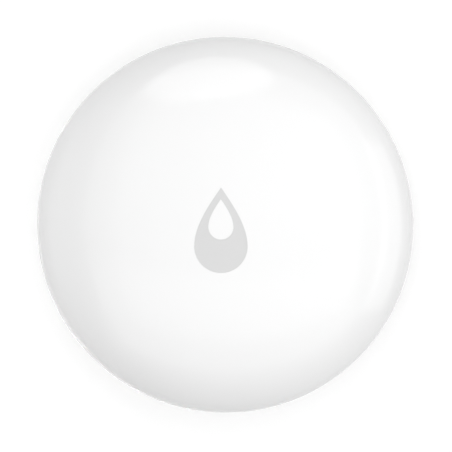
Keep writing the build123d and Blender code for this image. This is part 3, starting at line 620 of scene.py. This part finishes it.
def makeTopCover():
    outer, eye = markOutlines(0)
    fall = mark["height"] * mark["eyeShare"] * mark["eyeMiddleShare"]
    eyeMiddle = [(0, mark["height"] / 2 - mark["eyeInset"] - fall)]
    count = cover["segments"]
    steps = cover["steps"]
    rows = [onDome(eyeMiddle)]
    rows += [onDome(between(eyeMiddle * count, eye, (i + 1) / steps["eye"])) for i in range(steps["eye"])]
    shares = [i / steps["mark"] for i in range(steps["mark"] + 1)]
    rows += [onDome(between(eye, outer, share), mark["depth"]) for share in shares]
    circle = circleRow(cover["markRing"], count)
    rows += [onDome(between(outer, circle, i / steps["aroundMark"])) for i in range(steps["aroundMark"])]

    heightAbove = cover["top"] - cover["equator"]
    heightBelow = cover["equator"] - cover["underside"]
    startAngle = 180 / pi * acos(cover["markRing"] / cover["radius"])
    endAngle = -180 / pi * asin((cover["equator"] - cover["bottom"]) / heightBelow)
    crown = ellipseArc((0, cover["equator"]), (cover["radius"], heightAbove), startAngle, 0, steps["crown"])
    belly = ellipseArc(
        (cover["flatRadius"], cover["equator"]),
        (cover["radius"] - cover["flatRadius"], heightBelow),
        0,
        endAngle,
        steps["belly"],
    )
    bore = cover["radius"] - cover["skirtWall"]
    lip = (bore, cover["bottom"])
    edge = roundCorner(belly[-4], belly[-1], lip, cover["edgeRadius"])
    ceilingRadius = cover["radius"] - cover["wall"]
    ceilingRise = cover["top"] - cover["wall"] - cover["equator"]
    boreTop = (bore, cover["equator"] + ceilingRise * sqrt(1 - (bore / ceilingRadius) ** 2))
    ceilingStart = 180 / pi * acos(bore / ceilingRadius)
    postFoot = cover["postRadius"] + cover["postEdge"]
    ceilingEnd = 180 / pi * acos(postFoot / ceilingRadius)
    ceiling = ellipseArc(
        (0, cover["equator"]),
        (ceilingRadius, ceilingRise),
        ceilingStart,
        ceilingEnd,
        steps["ceiling"],
    )
    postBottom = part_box("switch_plunger")[1].z + cover["postGap"]
    postTop = (cover["postRadius"], ceiling[-1][1])
    postEnd = (cover["postRadius"], postBottom)
    section = crown + belly[1:-3] + edge + roundCorner(belly[-1], lip, boreTop, cover["edgeRadius"])
    section += [boreTop] + ceiling[1:-1]
    section += roundCorner(ceiling[-2], postTop, postEnd, cover["postEdge"])
    section += roundCorner(postTop, postEnd, (0, postBottom), cover["postEdge"] / 2) + [(0, postBottom)]
    rows += turnedRows(section, count)
    piece = loft("topCover", rows)

    # stiffening ribs across the ceiling, the snap lugs, and the thin window over the light
    ribBottom = cover["top"] - cover["wall"] - cover["ribDepth"]
    ribTop = cover["top"] - cover["wall"] + cover["ribRoot"]
    for angle in cover["ribAngles"]:
        turn = Matrix.Rotation(radians(angle), 4, "Z")
        outline = []
        for end in (1, -1):
            for step in range(steps["ribEnd"] + 1):
                bend = radians(-90 + 180 * step / steps["ribEnd"])
                x = end * (cover["ribReach"] + cover["ribWall"] / 2 * cos(bend))
                outline.append((x, end * cover["ribWall"] / 2 * sin(bend)))
        sides = [[turn @ Vector((x, y, z)) for x, y in outline] for z in (ribBottom, ribTop)]
        combine(piece, loft("rib", sides, capped=True), "UNION")
    for lug in lugRows():
        combine(piece, loft("lug", lug, capped=True), "UNION")
    ledY = middle("status_led").y
    windowTop = domeHeight(0, ledY + cover["windowRadius"]) - cover["windowWall"]
    circle = circleRow(cover["windowRadius"], cover["windowSegments"], ledY)
    window = [[(x, y, z) for x, y in circle] for z in (windowTop - 2 * cover["wall"], windowTop)]
    combine(piece, loft("window", window, capped=True), "DIFFERENCE")
    smoothShade(piece)
    return piece


def makeDropMark():
    outer, eye = markOutlines(-mark["gap"])
    floor = mark["depth"] - mark["gap"]
    shares = [i / mark["steps"] for i in range(mark["steps"] + 1)]
    rows = [onDome(between(outer, eye, share)) for share in shares]
    rows += [onDome(between(eye, outer, share), floor) for share in shares]
    piece = loft("dropMark", rows, closed=True)
    smoothShade(piece)
    return piece


topCover = makeTopCover()
topCover.data.materials.clear()
topCover.data.materials.append(whiteGloss)
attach(topCover, "cover")
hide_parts("top_cover")
dropMark = makeDropMark()
dropMark.data.materials.append(markInk)
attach(dropMark, "cover")
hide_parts("drop_mark")
print("cover and mark:", len(topCover.data.vertices), "and", len(dropMark.data.vertices), "points")


# Snap disc of the switch, built at rest; the real one flattens under the plunger

snapDisc = {
    "sheet": 0.1 * mm,
    "segments": 96,
    "steps": 28,
    "pressedShare": 0.39,  # of its height that is left when the cover is fully down
}


def makeSnapDisc():
    low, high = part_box("switch_dome")
    radius, rise, sheet = high.x, high.z - low.z, snapDisc["sheet"]
    outside = ellipseArc((0, low.z), (radius, rise), 90, 0, snapDisc["steps"])
    inside = ellipseArc((0, low.z), (radius - sheet, rise - sheet), 0, 90, snapDisc["steps"])
    section = [(0, high.z)] + outside[1:] + inside[:-1] + [(0, high.z - sheet)]
    piece = loft("snapDisc", turnedRows(section, snapDisc["segments"]))
    piece.data.materials.append(springSteel)
    smoothShade(piece)
    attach(piece, "base")
    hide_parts("switch_dome")
    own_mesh(piece)


makeSnapDisc()


# Circuit board: what is etched, printed and soldered on it, in millimetres

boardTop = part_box("circuit_board")[1].z
etched = {
    "width": 0.28,
    "height": 0.035,
    "lines": [
        [(-6.1, 4.6), (-5.0, 4.6), (-3.6, 6.0), (-3.6, 7.6), (-1.3, 7.6)],
        [(-9.6, 6.1), (-9.6, 9.0), (-7.1, 11.5), (-7.1, 12.0)],
        [(-6.1, 3.8), (-2.6, 3.8)],
        [(2.6, 3.8), (4.6, 3.8), (5.0, 4.2), (6.5, 4.2)],
        [(-10.2, -0.9), (-10.2, -4.9)],
        [(-7.9, -0.9), (-7.9, -4.9)],
        [(-13.1, 4.6), (-14.6, 4.6), (-16.6, 2.6), (-16.6, 0.5)],
        [(-13.1, 3.8), (-14.2, 3.8), (-15.4, 2.6), (-15.4, 0.5)],
        [(-13.1, 1.4), (-13.9, 0.6), (-13.9, -8.0), (-12.0, -9.9), (-4.5, -9.9), (-4.5, -10.4)],
        [(-6.1, 0.4), (-5.0, 0.4), (-4.2, -0.4), (-4.2, -4.6), (-3.4, -5.4), (0.8, -5.4)],
        [(3.7, -5.4), (4.6, -6.3), (6.4, -6.3)],
        [(-6.1, -0.3), (-5.5, -0.3), (-5.0, -0.8), (-5.0, -7.2), (-1.5, -10.4)],
        [(1.3, 7.6), (4.4, 7.6), (6.0, 6.0), (6.5, 6.0)],
        [(2.25, -4.4), (2.25, -8.0), (1.5, -8.8), (1.5, -10.4)],
        [(4.5, -10.4), (4.5, -9.6), (5.3, -8.8), (13.6, -8.8), (15.0, -7.4), (15.0, -4.5), (14.0, -4.5)],
        [(11.5, 4.2), (13.0, 4.2), (16.2, 1.0), (16.2, 0.5)],
        [(11.5, 2.4), (12.6, 2.4), (14.6, 0.4), (14.6, -2.4), (12.9, -3.6)],
    ],
    "holes": [
        (1.1, -5.4),
        (3.4, -5.4),
        (-16.6, 0.2),
        (-15.4, 0.2),
        (16.2, 0.2),
        (12.9, -3.7),
        (14.0, -6.3),
        (11.8, 6.0),
        (-12.0, -6.4),
    ],
    "holeRadii": (0.36, 0.14),  # of the ring and of its bore
    "testPads": [(-4.5, -11), (-1.5, -11), (1.5, -11), (4.5, -11)],
    "testPadRadius": 0.6,
    "screwRadii": (2.0, 1.25),
    "gilding": 0.01,  # what a gilded spot stands higher than a line
}
printed = {
    "line": 0.15,
    "height": 0.02,
    "corner": 0.2,
    "frames": [
        ((-3.7, -4.9), (3.7, 4.9)),
        ((6.0, 1.4), (12.0, 7.0)),
        ((5.9, -7.3), (14.5, -3.3)),
        ((-13.6, -1.4), (-5.6, 6.6)),
        ((-11.1, -8.2), (-6.9, -4.7)),
    ],
    "dot": (-13.0, 7.1),
    "dotRadius": 0.25,
}
soldered = {
    "endLength": 0.36,
    "skin": 0.02,
    "edge": 0.06,
    "edgeSteps": 4,
    "edgeInset": 0.9,  # share of the edge that the top draws in
    "filletReach": 0.28,
    "filletRise": 0.7,  # share of the height of the piece
    "filletFoot": 0.015,
    "filletSteps": 5,
    "landPitch": 0.5,
    "landWidth": 0.26,
    "landReach": 0.32,
    "landOverlap": 0.02,  # under the edge of the chip
    "landCorner": 0.05,
    "landHeight": 0.04,
    "landFree": 0.9,  # of the length of a side, kept free of lands at its ends
}


def flatRow(outline, height):
    return [(x * mm, y * mm, boardTop + height * mm) for x, y in outline]


def plate(outline, height):
    return loft("plate", [flatRow(outline, 0), flatRow(outline, height)], capped=True)


def ringPlate(outer, inner, height):
    rows = [flatRow(outer, 0), flatRow(outer, height), flatRow(inner, height), flatRow(inner, 0)]
    return loft("ringPlate", rows, closed=True)


def circleAt(centre, radius, count=32):
    return ellipseArc(centre, (radius, radius), 0, 360 - 360 / count, count - 1)


def roundedBox(low, high, radius):
    corners = ((high[0], high[1], 0), (low[0], high[1], 90), (low[0], low[1], 180), (high[0], low[1], 270))
    points = []
    for x, y, start in corners:
        turn = radians(start + 45)
        centre = (x - radius * (1 if cos(turn) > 0 else -1), y - radius * (1 if sin(turn) > 0 else -1))
        points += ellipseArc(centre, (radius, radius), start, start + 90, 4)
    return points


def etchedLine(points):
    # a strip along a bent line, with its bends mitred
    rows = []
    for i, point in enumerate(points):
        here = Vector(point)
        ways = [(here - Vector(points[i - 1])).normalized()] if i else []
        if i + 1 < len(points):
            ways.append((Vector(points[i + 1]) - here).normalized())
        way = sum(ways, Vector((0, 0))).normalized()
        across = Vector((-way.y, way.x)) * etched["width"] / 2 / way.dot(ways[0])
        left, right = here + across, here - across
        rows.append(flatRow([left], 0) + flatRow([left, right], etched["height"]) + flatRow([right], 0))
    return loft("etchedLine", rows, capped=True)


def cushion(low, high, edge):
    # a block with rounded upright corners and a rounded rim on top
    rows = [flatRow(roundedBox(low, high, edge), 0)]
    steps = soldered["edgeSteps"]
    for step in range(steps + 1):
        bend = pi / 2 * step / steps
        inset = edge * (1 - cos(bend)) * soldered["edgeInset"]
        corner = (low[0] + inset, low[1] + inset)
        opposite = (high[0] - inset, high[1] - inset)
        rows.append(flatRow(roundedBox(corner, opposite, edge - inset), high[2] - edge * (1 - sin(bend))))
    return loft("cushion", rows, capped=True)


def fillet(x, way, low, high, height):
    # molten solder drawn up against the end of a piece
    section = [(0, 0), (0, height)]
    steps = soldered["filletSteps"]
    for step in range(1, steps + 1):
        t = step / steps
        section.append((soldered["filletReach"] * t, height * (1 - t) ** 2 + soldered["filletFoot"]))
    section.append((soldered["filletReach"], 0))
    rows = [[((x + way * a) * mm, y * mm, boardTop + b * mm) for a, b in section] for y in (low, high)]
    return loft("fillet", rows, capped=True)


def looseParts(node):
    # box of each separate block in a piece of the construction, in millimetres over the board
    work = bmesh.new()
    work.from_mesh(nodes[node].data)
    bmesh.ops.remove_doubles(work, verts=work.verts, dist=0.001 * mm)
    left = set(work.verts)
    boxes = []
    while left:
        found = [left.pop()]
        for vertex in found:
            for edge in vertex.link_edges:
                other = edge.other_vert(vertex)
                if other in left:
                    left.remove(other)
                    found.append(other)
        points = [nodes[node].matrix_world @ vertex.co for vertex in found]
        low = [min(point[k] for point in points) / mm for k in range(3)]
        high = [max(point[k] for point in points) / mm for k in range(3)]
        boxes.append((low[:2], high[:2] + [high[2] - boardTop / mm]))
    work.free()
    return boxes


def solderedEnds():
    made = []
    skin = soldered["skin"]
    for node in ("capacitors", "resistors", "status_led"):
        for low, high in looseParts(node):
            for x, way in ((low[0], -1), (high[0], 1)):
                inner = x - way * soldered["endLength"]
                outer = x + way * skin
                corner = (min(inner, outer), low[1] - skin)
                opposite = (max(inner, outer), high[1] + skin, high[2] + skin)
                made.append(cushion(corner, opposite, soldered["edge"]))
                made.append(fillet(outer, way, low[1], high[1], high[2] * soldered["filletRise"]))
    for low, high in looseParts("radio_chip") + looseParts("crystal_base"):
        pitch = soldered["landPitch"]
        half = soldered["landWidth"] / 2
        most = int((high[0] - low[0] - soldered["landFree"]) / pitch)
        for side in range(4):
            along, across = (0, 1) if side % 2 else (1, 0)
            edge = (high if side < 2 else low)[across]
            way = 1 if side < 2 else -1
            ends = sorted((edge - way * soldered["landOverlap"], edge + way * soldered["landReach"]))
            middleAlong = (low[along] + high[along]) / 2
            span = high[along] - low[along]
            count = min(most, int((span - soldered["landFree"]) / pitch))
            for spot in range(count + 1):
                at = middleAlong + (spot - count / 2) * pitch
                corner, opposite = [0, 0], [0, 0]
                corner[across], opposite[across] = ends
                corner[along], opposite[along] = at - half, at + half
                outline = roundedBox(corner, opposite, soldered["landCorner"])
                made.append(plate(outline, soldered["landHeight"]))
    return made


def etchedRings():
    height = etched["height"] + etched["gilding"]
    outer, inner = etched["holeRadii"]
    made = [ringPlate(circleAt(at, outer), circleAt(at, inner), height) for at in etched["holes"]]
    made += [plate(circleAt(at, etched["testPadRadius"]), height) for at in etched["testPads"]]
    outer, inner = etched["screwRadii"]
    for low, high in looseParts("board_screws"):
        centre = ((low[0] + high[0]) / 2, (low[1] + high[1]) / 2)
        made.append(ringPlate(circleAt(centre, outer), circleAt(centre, inner), etched["height"]))
    return made


def printedFrames():
    made = []
    line = printed["line"]
    corner = printed["corner"]
    for low, high in printed["frames"]:
        inner = roundedBox((low[0] + line, low[1] + line), (high[0] - line, high[1] - line), corner)
        made.append(ringPlate(roundedBox(low, high, corner + line), inner, printed["height"]))
    made.append(plate(circleAt(printed["dot"], printed["dotRadius"]), printed["height"]))
    return made


def gather(name, made, material):
    # one piece out of many that share a material, carried by the base
    work = bmesh.new()
    for piece in made:
        work.from_mesh(piece.data)
        bpy.data.objects.remove(piece)
    mesh = bpy.data.meshes.new(name)
    work.to_mesh(mesh)
    work.free()
    whole = addObject(name, mesh)
    mesh.materials.append(material)
    smoothShade(whole)
    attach(whole, "base")


gather("etchedLines", [etchedLine(line) for line in etched["lines"]], traceMask)
gather("etchedRings", etchedRings(), gilding)
gather("printedFrames", printedFrames(), legendInk)
gather("solderedEnds", solderedEnds(), solder)
print("board dressed:", len(etched["lines"]), "etched lines and", len(etched["holes"]), "plated holes")


# Camera, almost straight above the puck

view = {
    "tiltX": 3.05,  # degrees off the axis of the puck
    "tiltY": 4.1,
    "lens": 250.0,
    "sensor": 36.0,
    "photoSide": 452,
    "puckAcross": 376.5,  # width of the puck in the photograph, in its pixels
    "offCentreX": -1.4,  # pixels of the photograph
    "offCentreY": 0.6,
    "sight": 6.0 * mm,  # height of the widest circle, which the picture is measured on
    "clip": (0.1, 20),  # nearest and farthest, in shares of the distance
}


def makeCamera():
    data = bpy.data.cameras.new("camera")
    data.lens = view["lens"]
    data.sensor_width = view["sensor"]
    frameWidth = 2 * cover["radius"] * view["photoSide"] / view["puckAcross"]
    back = Vector((tan(radians(view["tiltX"])), tan(radians(view["tiltY"])), 1)).normalized()
    distance = frameWidth * view["lens"] / view["sensor"]
    camera = addObject("camera", data)
    camera.rotation_mode = "QUATERNION"
    right = Vector((0, 1, 0)).cross(back).normalized()
    up = back.cross(right)
    turn = Matrix((right, up, back)).transposed()
    camera.rotation_quaternion = turn.to_quaternion()
    pixel = frameWidth / view["photoSide"]
    target = Vector((0, 0, view["sight"]))
    target = target - right * view["offCentreX"] * pixel - up * view["offCentreY"] * pixel
    camera.location = target + back * distance
    near, far = view["clip"]
    data.clip_start = distance * near
    data.clip_end = distance * far
    bpy.context.scene.camera = camera


makeCamera()


# Studio: a pale table that is clear from below, a white surround and soft boxes

studio = {
    "floorSide": 4.0,
    "floorDrop": 0.02 * mm,  # a hair under the feet, so that their flats show from below
    "floorColour": "#D4D4D4",
    "floorGlow": 0.4,  # lifts the table to white where it is seen or mirrored, all but the shadow
    "shadowReach": (0.028, 0.1),  # the shadow fades to white between these distances from the middle
    "surround": 0.02,  # the little light that the white surround itself gives
}
lamps = {
    # place and aim in metres, size across and along, power in watts
    "overheadBox": {"place": (0.35, 0.15, 0.8), "aim": (0.35, 0.15, 0), "size": (2.4, 2.4), "power": 13.6},
    "middleBox": {"place": (0.1, 0.05, 0.9), "aim": (0.1, 0.05, 0), "size": (1.4, 1.4), "power": 3.15},
    "backDish": {"place": (-0.101, 0.639, 0.47), "size": (0.62, 0.5), "shape": "ELLIPSE", "power": 1.1},
    "frontBox": {"place": (0, -0.643, 0.766), "size": (1.8, 0.9), "power": 1.85},
    "rightStrip": {"place": (0.92, -0.05, 0.27), "size": (1.1, 0.55), "power": 2.1},
    "leftStrip": {"place": (-0.88, 0, 0.187), "size": (0.8, 0.3), "power": 0.25},
    # the next two stand under the clear table, for the left rim and for the underside
    "lowStrip": {"place": (-0.856, 0, -0.278), "size": (0.9, 0.3), "power": 1.7, "mirrored": False},
    "underBox": {"place": (-0.35, -0.2, -0.75), "size": (0.7, 0.7), "power": 2.4},
}


def seenOrMirrored(tree):
    # 1 where the ray comes from the camera, a mirror or a clear piece
    light = addNode(tree, "LightPath").outputs
    either = light["Is Camera Ray"]
    for kind in ("Is Glossy Ray", "Is Transmission Ray"):
        either = addNode(tree, "Math", {0: either, 1: light[kind]}, operation="MAXIMUM").outputs[0]
    return either


def makeSurround():
    world = bpy.data.worlds.new("surround")
    bpy.context.scene.world = world
    world.use_nodes = True
    tree = world.node_tree
    tree.nodes.clear()
    light = addNode(tree, "Background", {"Color": (1, 1, 1, 1), "Strength": studio["surround"]})
    seen = addNode(tree, "Background", {"Color": (1, 1, 1, 1), "Strength": 1.0})
    mix = addNode(tree, "MixShader", {0: seenOrMirrored(tree), 1: light.outputs[0], 2: seen.outputs[0]})
    addNode(tree, "OutputWorld", {"Surface": mix.outputs[0]})


def makeTable():
    half = studio["floorSide"] / 2
    drop = -studio["floorDrop"]
    corners = [(-half, -half, drop), (half, -half, drop), (half, half, drop), (-half, half, drop)]
    mesh = bpy.data.meshes.new("table")
    mesh.from_pydata(corners, [], [(0, 1, 2, 3)])
    table = addObject("table", mesh)
    material = bpy.data.materials.new("paleTable")
    material.use_nodes = True
    tree = material.node_tree
    tree.nodes.clear()
    matt = addNode(tree, "BsdfDiffuse", {"Color": linear(studio["floorColour"])})
    glow = addNode(tree, "Emission", {"Color": (1, 1, 1, 1), "Strength": studio["floorGlow"]})
    lifted = addNode(tree, "AddShader", {0: matt.outputs[0], 1: glow.outputs[0]})
    white = addNode(tree, "Emission", {"Color": (1, 1, 1, 1), "Strength": 1.0})
    where = addNode(tree, "TexCoord").outputs["Object"]
    away = addNode(tree, "VectorMath", {0: where}, operation="LENGTH").outputs["Value"]
    near, far = studio["shadowReach"]
    reach = {"Value": away, "From Min": near, "From Max": far}
    fade = addNode(tree, "MapRange", reach, interpolation_type="SMOOTHSTEP").outputs["Result"]
    seen = addNode(tree, "MixShader", {0: fade, 1: lifted.outputs[0], 2: white.outputs[0]})
    top = addNode(tree, "MixShader", {0: seenOrMirrored(tree), 1: matt.outputs[0], 2: seen.outputs[0]})
    below = addNode(tree, "NewGeometry").outputs["Backfacing"]
    shadow = addNode(tree, "LightPath").outputs["Is Shadow Ray"]
    clear = addNode(tree, "Math", {0: below, 1: shadow}, operation="MAXIMUM")
    glass = addNode(tree, "BsdfTransparent")
    mix = addNode(tree, "MixShader", {0: clear.outputs[0], 1: top.outputs[0], 2: glass.outputs[0]})
    addNode(tree, "OutputMaterial", {"Surface": mix.outputs[0]})
    mesh.materials.append(material)


def makeLamps():
    for name, look in lamps.items():
        data = bpy.data.lights.new(name, "AREA")
        data.shape = look.get("shape", "RECTANGLE")
        data.size, data.size_y = look["size"]
        data.energy = look["power"]
        # only shadow rays pass through the table from above, so a lamp under it is left to them alone
        data.cycles.use_multiple_importance_sampling = look["place"][2] > 0
        lamp = addObject(name, data)
        lamp.location = look["place"]
        lamp.visible_glossy = look.get("mirrored", True)
        back = Vector(look["place"]) - Vector(look.get("aim", (0, 0, 0)))
        lamp.rotation_mode = "QUATERNION"
        lamp.rotation_quaternion = back.to_track_quat("Z", "Y")


makeSurround()
makeTable()
makeLamps()
bpy.context.scene.view_settings.view_transform = "Standard"
print("studio ready:", len(lamps), "lamps")
